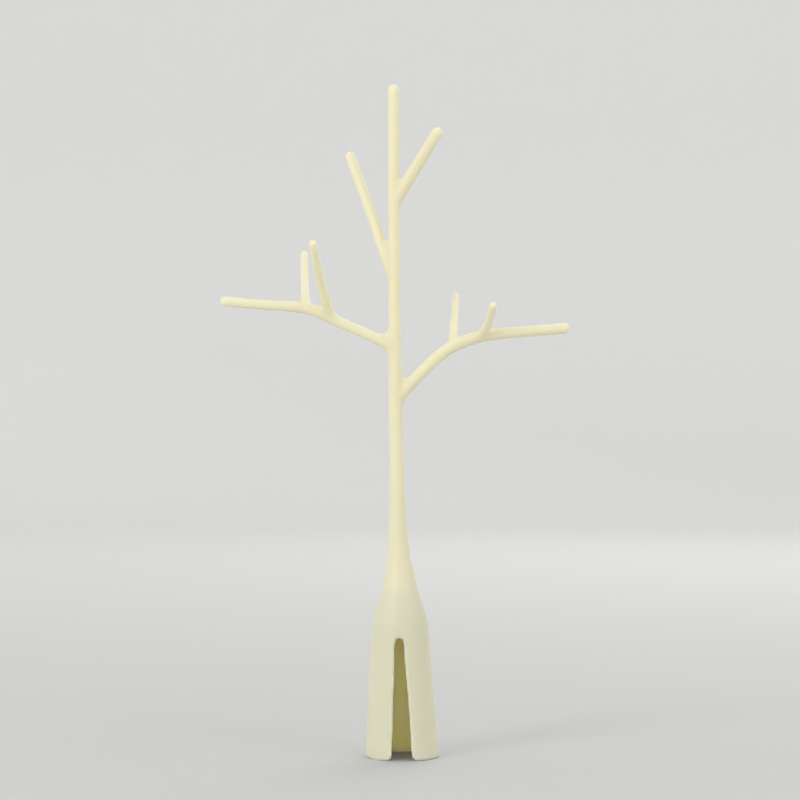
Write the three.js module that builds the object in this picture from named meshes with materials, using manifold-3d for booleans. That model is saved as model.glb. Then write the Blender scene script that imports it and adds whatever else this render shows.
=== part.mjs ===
// A tree-shaped drying stand for small bottle and cup parts.
// A hollow, slotted skirt plugs down over the blades of a drying rack. A solid trunk rises from it and
// carries two boughs, each with a front and a rear twig, and two upper branches.
// The stand is one rigid moulding. It is divided here at its natural collars into one solid per limb.
//
// Units are millimetres, +Z is up, -Y is the front, where the skirt's slot is. The origin is the
// centre of the skirt's rim.
import * as THREE from "three";
import { mergeVertices } from "three/addons/utils/BufferGeometryUtils.js";
import Module from "manifold-3d";

const wasm = await Module();
wasm.setup();

// ---- driving dimensions ----

const TRUNK_TOP = 266.6; // height of the centre of the trunk's round tip
const COLLAR_HEIGHT = 75; // height at which the skirt ends and the trunk starts
const JOINT_GAP = 0.3; // clear gap between neighbouring solids

const SKIRT_WALL = 1.5;
const CAVITY_TOP = 68; // height of the top of the hollow
const CAVITY_DOME = 12; // height over which the hollow closes

// Outer radius of the skirt and trunk at a height: [height, radius].
const STEM_RADII = [
  [0, 14.7],
  [13, 13.9],
  [26, 13.1],
  [38.5, 12.3],
  [49, 11.65],
  [54, 11.15],
  [58.5, 10.05],
  [63, 8.5],
  [68.2, 6.95],
  [74.5, 5.6],
  [82, 4.4],
  [92, 3.7],
  [112, 2.98],
  [126, 2.83],
  [139, 2.86],
  [154, 2.7],
  [172, 2.42],
  [216, 2.36],
  [246, 2.33],
  [TRUNK_TOP, 2.2],
];

// Sideways place of the skirt and trunk axis at a height, as the trunk leans a little: [height, x].
const STEM_AXIS = [
  [0, 0],
  [38.5, -0.8],
  [74, -1.2],
  [92, -1.9],
  [126, -2.5],
  [182, -3.2],
  [TRUNK_TOP, -3.6],
];

// The slot up the front of the skirt: [height, centre x, width]. It ends in a half circle at the top.
const SLOT_STATIONS = [
  [4.5, -0.3, 7.9],
  [14.4, -0.5, 6.9],
  [24.2, -0.7, 5.9],
  [39.8, -1.2, 4.15],
  [46.6, -1.3, 3.45],
];
const SLOT_FOOT_RADIUS = 2.7; // rounding of the slot's two lower corners

// Each limb: its axis from inside its parent to the centre of its round tip, its radius along the way,
// and how far the tip stands past that centre, which is the tip radius when no length is given.
const LIMBS = {
  left_bough: {
    parent: "trunk",
    route: [
      [-2.9, 0, 163.3],
      [-9.5, 0, 166.6],
      [-16.9, 0, 170.0],
      [-25.2, 0, 173.5],
      [-32.7, 0, 177.3],
      [-38, 0, 179.1],
      [-44.5, 0, 179.9],
      [-57, 0, 180.6],
      [-70.9, 0, 181.9],
    ],
    radii: [2.5, 2.15, 2.15, 2.35, 2.3, 2.05, 2.0, 2.1],
    colour: 0xe8e1c4,
  },
  right_bough: {
    parent: "trunk",
    route: [
      [-2.7, 0, 142.5],
      [4, 0, 149.8],
      [9.1, 0, 154.9],
      [14.2, 0, 159.7],
      [19.3, 0, 163.5],
      [24.8, 0, 166.0],
      [31, 0, 167.9],
      [40, 0, 169.1],
      [51.3, 0, 170.0],
      [65.2, 0, 171.2],
    ],
    radii: [2.5, 2.45, 2.45, 2.45, 2.4, 2.25, 2.2, 2.2],
    tipLength: 1.6,
    colour: 0xe6dfc2,
  },
  left_front_twig: {
    parent: "left_bough",
    route: [
      [-29.1, 0, 175.9],
      [-32.5, -12, 189.9],
      [-35, -24.8, 203.3],
    ],
    radii: [1.95, 1.8, 1.6],
    colour: 0xe9e2c6,
  },
  left_rear_twig: {
    parent: "left_bough",
    route: [
      [-38.7, 0, 179.2],
      [-39.7, 16, 190.8],
      [-40.5, 32, 202.6],
    ],
    radii: [1.85, 1.7, 1.6],
    colour: 0xddd6b8,
  },
  right_front_twig: {
    parent: "right_bough",
    route: [
      [32.2, 0, 168.1],
      [34.1, -9, 173.6],
      [35.6, -18, 179.4],
    ],
    radii: [1.85, 1.75, 1.6],
    colour: 0xe9e2c6,
  },
  right_rear_twig: {
    parent: "right_bough",
    route: [
      [20.1, 0, 164.1],
      [21.1, 16, 174.8],
      [22, 32, 185.5],
    ],
    radii: [1.85, 1.7, 1.6],
    colour: 0xddd6b8,
  },
  upper_right_branch: {
    parent: "trunk",
    route: [
      [-3.4, 0, 220.9],
      [5.1, -4.3, 234.6],
      [13.7, -8.8, 248.3],
    ],
    radii: [2.3, 2.4, 2.3],
    colour: 0xe8e1c5,
  },
  upper_left_branch: {
    parent: "trunk",
    route: [
      [-3.4, 0, 191],
      [-6.3, 1.9, 198.5],
      [-12.1, 6.8, 216.1],
      [-16.2, 12.4, 227.6],
      [-21.3, 19.5, 241.8],
    ],
    radii: [2.3, 2.2, 2.15, 2.1],
    colour: 0xe2dbbe,
  },
};

// ---- fineness ----

const SKIRT_SIDES = 64;
const TRUNK_SIDES = 20;
const LIMB_SIDES = 16;
const TIP_RINGS = 4;
const LIMB_RING_STEP = 4; // length of limb from one ring of corners to the next
const CURVED_RING_STEP = 3; // the same on the stem where its outline curves
const STRAIGHT_RING_STEP = 10; // and where it is nearly straight
const SKIRT_CONE_TOP = 48; // the skirt is nearly a straight cone up to this height
const TAPER_TOP = 100; // and the trunk is nearly a straight bar from this height up
const SLOT_ARC_STEPS = 12;
const WELD_TOLERANCE = 1e-3;

// ---- solids ----

// A closed geometry as a solid that can be cut and joined.
function solidOf(geometry) {
  const bare = geometry.index ? geometry.toNonIndexed() : geometry.clone();
  bare.deleteAttribute("normal");
  bare.deleteAttribute("uv");
  const welded = mergeVertices(bare, WELD_TOLERANCE);
  return new wasm.Manifold(
    new wasm.Mesh({
      numProp: 3,
      vertProperties: welded.attributes.position.array,
      triVerts: new Uint32Array(welded.index.array),
    }),
  );
}

// A solid as a geometry, with flat-shaded normals.
function geometryOf(solid) {
  const mesh = solid.getMesh();
  const indexed = new THREE.BufferGeometry();
  indexed.setAttribute("position", new THREE.BufferAttribute(mesh.vertProperties, mesh.numProp));
  indexed.setIndex(new THREE.BufferAttribute(mesh.triVerts, 1));
  const geometry = indexed.toNonIndexed();
  geometry.computeVertexNormals();
  return geometry;
}

// A smooth curve through [place, value] stations, read as value at a place.
function smoothValue(stations) {
  const slopes = stations.map((station, i) => {
    const before = stations[Math.max(i - 1, 0)];
    const after = stations[Math.min(i + 1, stations.length - 1)];
    return (after[1] - before[1]) / (after[0] - before[0]);
  });
  return (place) => {
    const inside = THREE.MathUtils.clamp(place, stations[0][0], stations.at(-1)[0]);
    const found = stations.findIndex((station) => station[0] >= inside);
    const i = Math.max(found, 1);
    const [start, end] = [stations[i - 1], stations[i]];
    const span = end[0] - start[0];
    const t = (inside - start[0]) / span;
    const hermite = [
      2 * t ** 3 - 3 * t ** 2 + 1,
      t ** 3 - 2 * t ** 2 + t,
      -2 * t ** 3 + 3 * t ** 2,
      t ** 3 - t ** 2,
    ];
    return (
      hermite[0] * start[1] +
      hermite[1] * span * slopes[i - 1] +
      hermite[2] * end[1] +
      hermite[3] * span * slopes[i]
    );
  };
}

const stemRadius = smoothValue(STEM_RADII);
const stemAxis = smoothValue(STEM_AXIS);

// Heights from one level to another, in equal steps of about the given size.
function levels(from, to, step) {
  const count = Math.max(1, Math.round((to - from) / step));
  return Array.from({ length: count + 1 }, (_, i) => from + ((to - from) * i) / count);
}

// Heights of the stem's rings: close together where its outline curves, far apart elsewhere.
function stemLevels(from, to) {
  const cuts = [SKIRT_CONE_TOP, TAPER_TOP].filter((cut) => cut > from && cut < to);
  const bounds = [from, ...cuts, to];
  const heights = [from];
  for (let i = 1; i < bounds.length; i++) {
    const [low, high] = [bounds[i - 1], bounds[i]];
    const curved = low >= SKIRT_CONE_TOP && high <= TAPER_TOP;
    const step = curved ? CURVED_RING_STEP : STRAIGHT_RING_STEP;
    heights.push(...levels(low, high, step).slice(1));
  }
  return heights;
}

// Profile points of a round tip: from its widest ring to a point on the axis.
function tipProfile(radius, centre, length) {
  const points = [];
  for (let i = 1; i <= TIP_RINGS; i++) {
    const angle = (Math.PI / 2) * (i / TIP_RINGS);
    const ring = i === TIP_RINGS ? 0 : radius * Math.cos(angle);
    points.push(new THREE.Vector2(ring, centre + length * Math.sin(angle)));
  }
  return points;
}

// ---- skirt and trunk ----

// A turned solid about +Z, each ring moved sideways to the stem's leaning axis.
function stemSolid(profile, sides) {
  const geometry = new THREE.LatheGeometry(profile, sides).rotateX(Math.PI / 2);
  const position = geometry.attributes.position;
  for (let i = 0; i < position.count; i++) {
    position.setX(i, position.getX(i) + stemAxis(position.getZ(i)));
  }
  return solidOf(geometry);
}

function trunkSolid(growth = 0) {
  const foot = COLLAR_HEIGHT + JOINT_GAP - growth;
  const profile = [new THREE.Vector2(0, foot)];
  for (const height of stemLevels(foot, TRUNK_TOP)) {
    profile.push(new THREE.Vector2(stemRadius(height) + growth, height));
  }
  const tip = stemRadius(TRUNK_TOP) + growth;
  profile.push(...tipProfile(tip, TRUNK_TOP, tip));
  return stemSolid(profile, TRUNK_SIDES);
}

// The hollow: it follows the outside of the skirt at the wall thickness and closes in a dome.
function cavitySolid() {
  const belowRim = -2;
  const springing = CAVITY_TOP - CAVITY_DOME;
  const innerRadius = (height) => stemRadius(height) - SKIRT_WALL;
  const profile = [
    new THREE.Vector2(0, belowRim),
    new THREE.Vector2(innerRadius(0), belowRim),
  ];
  for (const height of stemLevels(0, springing)) {
    profile.push(new THREE.Vector2(innerRadius(height), height));
  }
  const domeRings = 6;
  for (let i = 1; i <= domeRings; i++) {
    const angle = (Math.PI / 2) * (i / domeRings);
    const height = springing + CAVITY_DOME * Math.sin(angle);
    const ring = i === domeRings ? 0 : innerRadius(springing) * Math.cos(angle);
    profile.push(new THREE.Vector2(Math.min(ring, innerRadius(height)), height));
  }
  return stemSolid(profile, SKIRT_SIDES);
}

// The slot's cutter: its front outline, taken from the middle of the skirt out past the front wall.
function slotSolid() {
  const belowRim = -1;
  const foot = SLOT_FOOT_RADIUS;
  const centre = smoothValue(SLOT_STATIONS.map(([height, x]) => [height, x]));
  const width = smoothValue(SLOT_STATIONS.map(([height, , w]) => [height, w]));
  const edge = (height, side) => centre(height) + (side * width(height)) / 2;
  const outline = new THREE.Shape();
  outline.moveTo(edge(0, -1) - foot, belowRim);
  outline.lineTo(edge(0, -1) - foot, 0);
  outline.absarc(edge(0, -1) - foot, foot, foot, -Math.PI / 2, 0, false);
  for (const [height] of SLOT_STATIONS.slice(1)) outline.lineTo(edge(height, -1), height);
  const top = SLOT_STATIONS.at(-1)[0];
  outline.absarc(centre(top), top, width(top) / 2, Math.PI, 0, true);
  for (const [height] of SLOT_STATIONS.slice(1, -1).reverse()) {
    outline.lineTo(edge(height, 1), height);
  }
  outline.lineTo(edge(0, 1), foot);
  outline.absarc(edge(0, 1) + foot, foot, foot, Math.PI, Math.PI * 1.5, false);
  outline.lineTo(edge(0, 1) + foot, belowRim);
  outline.closePath();
  const pastFront = STEM_RADII[0][1] + 2;
  const cutter = new THREE.ExtrudeGeometry(outline, {
    depth: pastFront,
    bevelEnabled: false,
    curveSegments: SLOT_ARC_STEPS,
  });
  return solidOf(cutter.rotateX(Math.PI / 2));
}

function skirtSolid() {
  const profile = [new THREE.Vector2(0, 0)];
  for (const height of stemLevels(0, COLLAR_HEIGHT)) {
    profile.push(new THREE.Vector2(stemRadius(height), height));
  }
  profile.push(new THREE.Vector2(0, COLLAR_HEIGHT));
  return stemSolid(profile, SKIRT_SIDES).subtract(cavitySolid()).subtract(slotSolid());
}

// ---- limbs ----

// A round bar along the limb's route: a turned bar whose rings are carried onto the curve.
function limbSolid({ route, radii, tipLength }, growth = 0) {
  const curve = new THREE.CatmullRomCurve3(route.map((point) => new THREE.Vector3(...point)));
  const length = curve.getLength();
  const rings = Math.max(6, Math.round(length / LIMB_RING_STEP));
  const radiusAt = smoothValue(radii.map((radius, i) => [(length * i) / (radii.length - 1), radius]));
  const profile = [new THREE.Vector2(0, 0)];
  for (const along of levels(0, length, length / rings)) {
    profile.push(new THREE.Vector2(radiusAt(along) + growth, along));
  }
  const tip = radii.at(-1) + growth;
  profile.push(...tipProfile(tip, length, (tipLength ?? radii.at(-1)) + growth));

  const geometry = new THREE.LatheGeometry(profile, LIMB_SIDES);
  const frames = curve.computeFrenetFrames(rings);
  const position = geometry.attributes.position;
  const vertex = new THREE.Vector3();
  for (let i = 0; i < position.count; i++) {
    vertex.fromBufferAttribute(position, i);
    const ring = Math.min(rings, Math.round((vertex.y / length) * rings));
    const pastEnd = Math.max(0, vertex.y - length);
    const placed = curve
      .getPointAt(ring / rings)
      .addScaledVector(frames.binormals[ring], vertex.x)
      .addScaledVector(frames.normals[ring], vertex.z)
      .addScaledVector(frames.tangents[ring], pastEnd);
    position.setXYZ(i, placed.x, placed.y, placed.z);
  }
  return solidOf(geometry);
}

// The parent's solid, grown by the gap, so that a limb cut by it stands just clear of the parent.
function grownParent(name) {
  return name === "trunk" ? trunkSolid(JOINT_GAP) : limbSolid(LIMBS[name], JOINT_GAP);
}

// ---- the stand ----

function plasticMesh(name, solid, colour) {
  const material = new THREE.MeshStandardMaterial({ color: colour, roughness: 0.5, metalness: 0 });
  const mesh = new THREE.Mesh(geometryOf(solid), material);
  mesh.name = name;
  return mesh;
}

const stand = new THREE.Group();
stand.add(plasticMesh("socket_skirt", skirtSolid(), 0xe4dcbf));
stand.add(plasticMesh("trunk", trunkSolid(), 0xe7e0c3));
for (const [name, limb] of Object.entries(LIMBS)) {
  const solid = limbSolid(limb).subtract(grownParent(limb.parent));
  stand.add(plasticMesh(name, solid, limb.colour));
}

export default stand;
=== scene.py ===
"""A tree-shaped drying stand of ivory plastic, in a plain pale studio.

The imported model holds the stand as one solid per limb. The real stand is one moulding, so one skin is
made here from those solids: closed over the gaps between them, filleted at each fork and smoothed.
Lengths in the skin's making are in millimetres; everything placed in the scene is in metres.
"""

import math

import bpy
import numpy as np
import openvdb as vdb
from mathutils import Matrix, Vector
from mathutils.bvhtree import BVHTree


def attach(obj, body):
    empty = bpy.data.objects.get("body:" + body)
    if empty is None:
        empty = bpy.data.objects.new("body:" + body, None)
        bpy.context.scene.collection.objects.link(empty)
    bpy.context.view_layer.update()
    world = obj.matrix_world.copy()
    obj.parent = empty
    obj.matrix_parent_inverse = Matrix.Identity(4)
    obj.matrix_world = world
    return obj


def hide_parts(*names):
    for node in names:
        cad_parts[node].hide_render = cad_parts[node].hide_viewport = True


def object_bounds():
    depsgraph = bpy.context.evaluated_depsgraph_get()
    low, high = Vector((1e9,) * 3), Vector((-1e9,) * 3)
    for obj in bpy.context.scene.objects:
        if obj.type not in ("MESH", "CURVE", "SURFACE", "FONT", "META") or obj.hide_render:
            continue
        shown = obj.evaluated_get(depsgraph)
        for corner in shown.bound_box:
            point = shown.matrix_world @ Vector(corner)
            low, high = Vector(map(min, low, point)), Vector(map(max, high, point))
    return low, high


MM = 0.001

# ---- the skin, in millimetres ----

VOXEL = 0.51  # spacing of the distance field, and so of the skin's corners
GAP_CLOSING = 1.1  # closing radius everywhere: it fills the gaps and rounds the sharpest crotches
JOINED_WITHIN = 0.7  # a limb's corner nearer its parent than this is on the face where they join
DIRECTION_SPAN = 12.0  # length of limb and parent that gives their directions at a fork
FILLET_ROOM = 7.0  # how far past the fillet radius a fork's own piece of the field reaches
SIDE_MARGIN = 1.2  # and how far off the limb's axis it starts, so that each side is filled on its own
CLOSING_MARGIN = 3 * VOXEL  # how far past its radius a closing's own field reaches
SKIN_REACH = 4 * VOXEL  # how far from the skin the final field is known
FILLET_BALL_INSET = 2 * VOXEL  # clearance between a fillet's ball and the sides of its piece of the field

# Each limb's parent, and the fillet radii on the narrow and the wide side of its fork. A radius no larger
# than GAP_CLOSING adds nothing to what the closing has already filled.
FORKS = {
    "left_bough": ("trunk", 2.7, 5.5),
    "right_bough": ("trunk", 1.3, 6.0),
    "upper_right_branch": ("trunk", 1.1, 6.0),
    "upper_left_branch": ("trunk", 1.1, 8.0),
    "left_front_twig": ("left_bough", 1.2, 3.6),
    "left_rear_twig": ("left_bough", 1.2, 3.0),
    "right_front_twig": ("right_bough", 1.2, 3.0),
    "right_rear_twig": ("right_bough", 1.6, 3.6),
}

# Taubin smoothing: a shrinking step and a slightly larger growing step, so that the size is kept.
SMOOTHING_PASSES = 50
SHRINK_STEP = 0.5
GROW_STEP = -0.53

# ---- the camera, in metres ----

CAMERA_DISTANCE = 0.96  # in front of the stand's foot
CAMERA_ABOVE_CENTRE = 0.0081  # above the middle of the stand's height
CAMERA_SIDE = 0.0021  # right of the middle of the stand's width
LENS = 108.0
SENSOR = 36.0

# ---- the studio, in metres ----

FLOOR_RADIUS = 1.7
COVE_RADIUS = 0.5
WALL_HEIGHT = 1.1
STUDIO_SIDES = 96
COVE_STEPS = 12
# Painted shade: the floor paint is darker near the stand's foot, where the lamps light it most, to even
# its brightness out against the wall's.
PAINTED_SHADE_GREY = (0.60, 0.60, 0.595, 1.0)
WALL_GREY = (0.84, 0.84, 0.83, 1.0)
PAINTED_SHADE_WITHIN = 0.1  # the paint is the painted-shade grey nearer the stand's foot than this
PALE_BEYOND = 2.2  # and WALL_GREY farther from it than this
PAINT_MOTTLE_SCALE = 6.0
PAINT_ROUGHNESS = (0.8, 0.9)

KEY_LIGHT = {"place": (-1.15, -1.25, 0.65), "size": 0.6, "power": 8.2}
FILL_LIGHT = {"place": (1.1, -1.1, 0.6), "size": 0.6, "power": 2.6}
BACK_LIGHT = {"place": (0.5, 1.2, 1.0), "size": 1.0, "power": 4.0}
SKY_STRENGTH = 0.83


# ---- the plastic ----

PLASTIC_DEEP = (0.80, 0.755, 0.55, 1)
PLASTIC_PALE = (0.82, 0.78, 0.58, 1)
MOTTLE_SCALE = 28.0
GRAIN_SCALE = 1500.0
GRAIN_STRENGTH = 0.06
GRAIN_DEPTH = 0.0002  # metres
PLASTIC_ROUGHNESS = (0.40, 0.50)
PLASTIC_IOR = 1.49
PLASTIC_SHEEN_LEVEL = 0.4
SCATTER_RADIUS = (1.0, 0.9, 0.6)  # how far red, green and blue light spread inside, relative to each other
SCATTER_SCALE = 0.004  # metres

RAMP_ENDS = (0.3, 0.7)  # the part of a noise's range over which a colour changes


# ---- meshes as distance fields ----


def node_surface(*names):
    """The corners, in millimetres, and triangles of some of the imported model's nodes, as one surface."""
    corners, triangles, count = [], [], 0
    for name in names:
        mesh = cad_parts[name].data
        mesh.calc_loop_triangles()
        places = np.empty(len(mesh.vertices) * 3, np.float32)
        mesh.vertices.foreach_get("co", places)
        faces = np.empty(len(mesh.loop_triangles) * 3, np.int32)
        mesh.loop_triangles.foreach_get("vertices", faces)
        corners.append(places.reshape(-1, 3) / MM)
        triangles.append(faces.reshape(-1, 3) + count)
        count += len(mesh.vertices)
    return np.concatenate(corners), np.concatenate(triangles)


def distance_field(corners, faces, reach):
    """The signed distance to a closed surface, known out to reach on both sides of it."""
    sides = "triangles" if faces.shape[1] == 3 else "quads"
    return vdb.FloatGrid.createLevelSetFromPolygons(
        corners.astype(np.float32),
        transform=vdb.createLinearTransform(voxelSize=VOXEL),
        halfWidth=reach / VOXEL,
        **{sides: faces.astype(np.uint32)},
    )


def closed_field(corners, faces, radius):
    """A field whose level -radius is the surface with every crease filled to that radius."""
    reach = radius + CLOSING_MARGIN
    grown = distance_field(corners, faces, reach).convertToQuads(isovalue=radius)
    return distance_field(*grown, reach)


# ---- fillets at the forks ----


def main_direction(corners, centre):
    """The direction in which a bar runs near a point."""
    near = corners[np.linalg.norm(corners - centre, axis=1) < DIRECTION_SPAN]
    spread = near - near.mean(axis=0)
    return np.linalg.svd(spread, full_matrices=False)[2][0]


def fork_of(limb, parent):
    """Where a limb leaves its parent, and the direction across it towards the fork's narrow side."""
    limb_corners, _ = node_surface(limb)
    parent_corners, parent_faces = node_surface(parent)
    tree = BVHTree.FromPolygons(parent_corners.tolist(), parent_faces.tolist())
    gaps = np.array([tree.find_nearest(corner)[3] for corner in limb_corners.tolist()])
    centre = limb_corners[gaps < JOINED_WITHIN].mean(axis=0)
    along = main_direction(limb_corners, centre)
    outward = limb_corners.mean(axis=0) - centre
    along = along * np.sign(along @ outward)
    run = main_direction(parent_corners, centre)
    run = run * np.sign(run @ along)
    across = run - (run @ along) * along
    return centre, across / np.linalg.norm(across)


def add_fillet(field, limb, parent, radius, side):
    """Fills one side of a fork to a radius: side is 1 for its narrow side and -1 for its wide side."""
    centre, across = fork_of(limb, parent)
    filled = closed_field(*node_surface(limb, parent), radius)
    room = radius + FILLET_ROOM
    low = np.floor((centre - room) / VOXEL).astype(int)
    count = int(math.ceil(2 * room / VOXEL))
    old = np.empty((count, count, count), np.float32)
    new = np.empty((count, count, count), np.float32)
    field.copyToArray(old, ijk=tuple(low.tolist()))
    filled.copyToArray(new, ijk=tuple(low.tolist()))
    steps = np.arange(count)
    grid = np.stack(np.meshgrid(steps, steps, steps, indexing="ij"), axis=-1)
    places = (grid + low) * VOXEL - centre
    outside_side = SIDE_MARGIN - side * (places @ across)
    outside_ball = np.linalg.norm(places, axis=-1) - (room - FILLET_BALL_INSET)
    limit = np.maximum(outside_side, outside_ball)
    joined = np.minimum(old, np.maximum(new + radius, limit)).astype(np.float32)
    field.copyFromArray(joined, ijk=tuple(low.tolist()))


# ---- smoothing ----


def neighbour_pull(corners, faces):
    """A function that gives, for each corner, the step to the mean of its neighbours."""
    starts = faces.ravel()
    ends = np.roll(faces, -1, axis=1).ravel()
    one, other = np.concatenate([starts, ends]), np.concatenate([ends, starts])
    counts = np.bincount(one, minlength=len(corners))

    def pull(places):
        sums = [np.bincount(one, places[other, axis], len(corners)) for axis in range(3)]
        return np.stack(sums, axis=1) / counts[:, None] - places

    return pull


def smoothed(corners, faces):
    """The surface with its facets and voxel steps taken out and its size kept."""
    pull = neighbour_pull(corners, faces)
    places = corners.astype(float)
    for _ in range(SMOOTHING_PASSES):
        places = places + SHRINK_STEP * pull(places)
        places = places + GROW_STEP * pull(places)
    return places


def faces_out(corners, faces):
    """The faces, all turned round if they point inwards."""
    a, b, c = corners[faces[:, 0]], corners[faces[:, 1]], corners[faces[:, 2]]
    d = corners[faces[:, 3]]
    volume = np.einsum("ij,ij->i", a, np.cross(b, c)) + np.einsum("ij,ij->i", a, np.cross(c, d))
    return faces if volume.sum() > 0 else faces[:, ::-1]


def make_skin():
    """The whole stand as one smooth closed mesh."""
    nodes = sorted(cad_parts)
    base = closed_field(*node_surface(*nodes), GAP_CLOSING)
    base = base.convertToQuads(isovalue=-GAP_CLOSING)
    field = distance_field(*base, SKIN_REACH)
    for limb, (parent, narrow, wide) in FORKS.items():
        for side, radius in ((1, narrow), (-1, wide)):
            if radius > GAP_CLOSING:
                add_fillet(field, limb, parent, radius, side)
    corners, faces = field.convertToQuads(isovalue=0)
    corners = smoothed(corners, faces)
    faces = faces_out(corners, faces)
    mesh = bpy.data.meshes.new("drying_tree")
    mesh.from_pydata((corners * MM).tolist(), [], faces.tolist())
    mesh.validate()
    mesh.shade_smooth()
    skin = bpy.data.objects.new("drying_tree", mesh)
    bpy.context.scene.collection.objects.link(skin)
    return skin


# ---- materials ----


def new_material(name):
    """A new material, its node tree and its surface shader."""
    material = bpy.data.materials.new(name)
    material.use_nodes = True
    tree = material.node_tree
    return material, tree, tree.nodes["Principled BSDF"]


def noise(tree, coordinates, scale, detail):
    """A noise texture over the object's own coordinates."""
    texture = tree.nodes.new("ShaderNodeTexNoise")
    texture.inputs["Scale"].default_value = scale
    texture.inputs["Detail"].default_value = detail
    tree.links.new(coordinates, texture.inputs["Vector"])
    return texture.outputs["Fac"]


def ramp(tree, factor, low, high):
    """Two colours or greys with a smooth change between them."""
    node = tree.nodes.new("ShaderNodeValToRGB")
    node.color_ramp.elements[0].position = RAMP_ENDS[0]
    node.color_ramp.elements[1].position = RAMP_ENDS[1]
    node.color_ramp.elements[0].color = low
    node.color_ramp.elements[1].color = high
    tree.links.new(factor, node.inputs["Fac"])
    return node.outputs["Color"]


def grey(value):
    """A value as an opaque grey."""
    return (value, value, value, 1)


def ivory_plastic():
    """Satin moulded ivory plastic: faintly mottled, finely grained, with light scattered inside."""
    material, tree, shader = new_material("ivory_plastic_skin")
    coordinates = tree.nodes.new("ShaderNodeTexCoord").outputs["Object"]
    mottle = noise(tree, coordinates, MOTTLE_SCALE, 3.0)
    colour = ramp(tree, mottle, PLASTIC_DEEP, PLASTIC_PALE)
    tree.links.new(colour, shader.inputs["Base Color"])
    grain = noise(tree, coordinates, GRAIN_SCALE, 2.0)
    rough = ramp(tree, grain, grey(PLASTIC_ROUGHNESS[0]), grey(PLASTIC_ROUGHNESS[1]))
    tree.links.new(rough, shader.inputs["Roughness"])
    bump = tree.nodes.new("ShaderNodeBump")
    bump.inputs["Strength"].default_value = GRAIN_STRENGTH
    bump.inputs["Distance"].default_value = GRAIN_DEPTH
    tree.links.new(grain, bump.inputs["Height"])
    tree.links.new(bump.outputs["Normal"], shader.inputs["Normal"])
    shader.inputs["IOR"].default_value = PLASTIC_IOR
    shader.inputs["Specular IOR Level"].default_value = PLASTIC_SHEEN_LEVEL
    shader.inputs["Subsurface Weight"].default_value = 1.0
    shader.inputs["Subsurface Radius"].default_value = SCATTER_RADIUS
    shader.inputs["Subsurface Scale"].default_value = SCATTER_SCALE
    return material


def studio_paint_with_painted_shade():
    """Matte paint, darker near the stand and paler away from it: painted shade where the lamps light the
    floor most, so that the floor and the wall look alike.
    """
    material, tree, shader = new_material("studio_paint_with_painted_shade")
    coordinates = tree.nodes.new("ShaderNodeTexCoord").outputs["Object"]
    away = tree.nodes.new("ShaderNodeVectorMath")
    away.operation = "LENGTH"
    share = tree.nodes.new("ShaderNodeMapRange")
    share.inputs["From Min"].default_value = PAINTED_SHADE_WITHIN
    share.inputs["From Max"].default_value = PALE_BEYOND
    # painted shade: the grey near the stand is darker to cancel the stronger lamplight there
    paint = tree.nodes.new("ShaderNodeMix")
    paint.data_type = "RGBA"
    paint.inputs["A"].default_value = PAINTED_SHADE_GREY
    paint.inputs["B"].default_value = WALL_GREY
    tree.links.new(coordinates, away.inputs[0])
    tree.links.new(away.outputs["Value"], share.inputs["Value"])
    tree.links.new(share.outputs["Result"], paint.inputs["Factor"])
    tree.links.new(paint.outputs["Result"], shader.inputs["Base Color"])
    mottle = noise(tree, coordinates, PAINT_MOTTLE_SCALE, 2.0)
    rough = ramp(tree, mottle, grey(PAINT_ROUGHNESS[0]), grey(PAINT_ROUGHNESS[1]))
    tree.links.new(rough, shader.inputs["Roughness"])
    return material


# ---- the studio ----


def make_studio():
    """A round floor that curves up into a wall all the way round, so that every view has a background."""
    outline = [(0.0, 0.0), (FLOOR_RADIUS * 0.5, 0.0)]
    for step in range(COVE_STEPS + 1):
        angle = math.pi / 2 * step / COVE_STEPS
        out = FLOOR_RADIUS + COVE_RADIUS * math.sin(angle)
        outline.append((out, COVE_RADIUS * (1 - math.cos(angle))))
    outline.append((FLOOR_RADIUS + COVE_RADIUS, WALL_HEIGHT))
    corners = [(0.0, 0.0, 0.0)]
    for radius, height in outline[1:]:
        for side in range(STUDIO_SIDES):
            turn = 2 * math.pi * side / STUDIO_SIDES
            corners.append((radius * math.cos(turn), radius * math.sin(turn), height))
    faces = []
    for side in range(STUDIO_SIDES):
        after = (side + 1) % STUDIO_SIDES
        faces.append((0, 1 + side, 1 + after))
        for ring in range(len(outline) - 2):
            low, high = 1 + ring * STUDIO_SIDES, 1 + (ring + 1) * STUDIO_SIDES
            faces.append((low + side, high + side, high + after, low + after))
    mesh = bpy.data.meshes.new("studio")
    mesh.from_pydata(corners, [], faces)
    mesh.shade_smooth()
    mesh.materials.append(studio_paint_with_painted_shade())
    studio = bpy.data.objects.new("studio", mesh)
    bpy.context.scene.collection.objects.link(studio)


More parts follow.
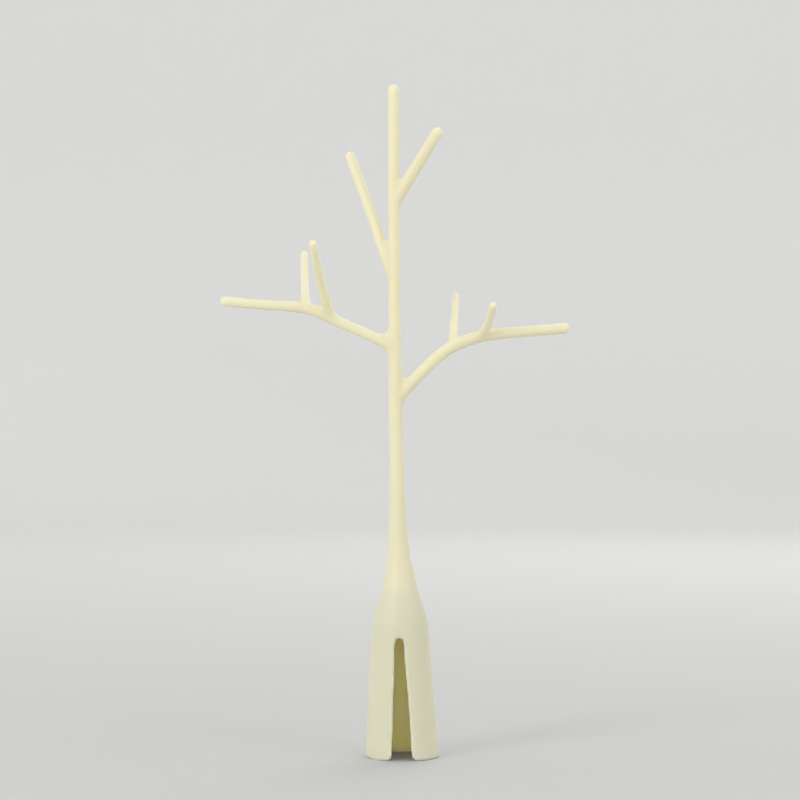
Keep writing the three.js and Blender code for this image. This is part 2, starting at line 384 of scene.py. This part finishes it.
def add_light(name, target, place, size, power):
    """A soft square light aimed at the target, which the camera doesn't see."""
    lamp = bpy.data.lights.new(name, "AREA")
    lamp.shape = "SQUARE"
    lamp.size = size
    lamp.energy = power
    light = bpy.data.objects.new(name, lamp)
    light.location = Vector(place)
    light.rotation_euler = (target - Vector(place)).to_track_quat("-Z", "Y").to_euler()
    light.visible_camera = False
    bpy.context.scene.collection.objects.link(light)


def light_studio(target):
    """Soft key from the left, weaker fill from the right, light from behind and from all round."""
    add_light("key", target, **KEY_LIGHT)
    add_light("fill", target, **FILL_LIGHT)
    add_light("back", target, **BACK_LIGHT)
    world = bpy.data.worlds.new("studio_air")
    world.use_nodes = True
    world.node_tree.nodes["Background"].inputs["Color"].default_value = (1, 1, 1, 1)
    world.node_tree.nodes["Background"].inputs["Strength"].default_value = SKY_STRENGTH
    bpy.context.scene.world = world


def make_camera(centre):
    """The camera, level, straight in front of the stand."""
    data = bpy.data.cameras.new("camera")
    data.lens = LENS
    data.sensor_width = SENSOR
    camera = bpy.data.objects.new("camera", data)
    camera.location = (centre.x + CAMERA_SIDE, -CAMERA_DISTANCE, centre.z + CAMERA_ABOVE_CENTRE)
    camera.rotation_euler = (math.pi / 2, 0, 0)
    bpy.context.scene.collection.objects.link(camera)
    bpy.context.scene.camera = camera
    bpy.context.scene.view_settings.view_transform = "Standard"


# ---- the scene ----

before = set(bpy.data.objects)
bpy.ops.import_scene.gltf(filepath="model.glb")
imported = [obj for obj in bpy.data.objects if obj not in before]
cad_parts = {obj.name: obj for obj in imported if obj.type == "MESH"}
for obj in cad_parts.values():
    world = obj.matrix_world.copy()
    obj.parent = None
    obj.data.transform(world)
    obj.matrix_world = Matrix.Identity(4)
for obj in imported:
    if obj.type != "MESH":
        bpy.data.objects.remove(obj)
cad_low, cad_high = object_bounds()
middle = (cad_low + cad_high) / 2

make_camera(middle)
light_studio(middle)
make_studio()

tree_skin = make_skin()
tree_skin.data.materials.append(ivory_plastic())
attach(tree_skin, "root")
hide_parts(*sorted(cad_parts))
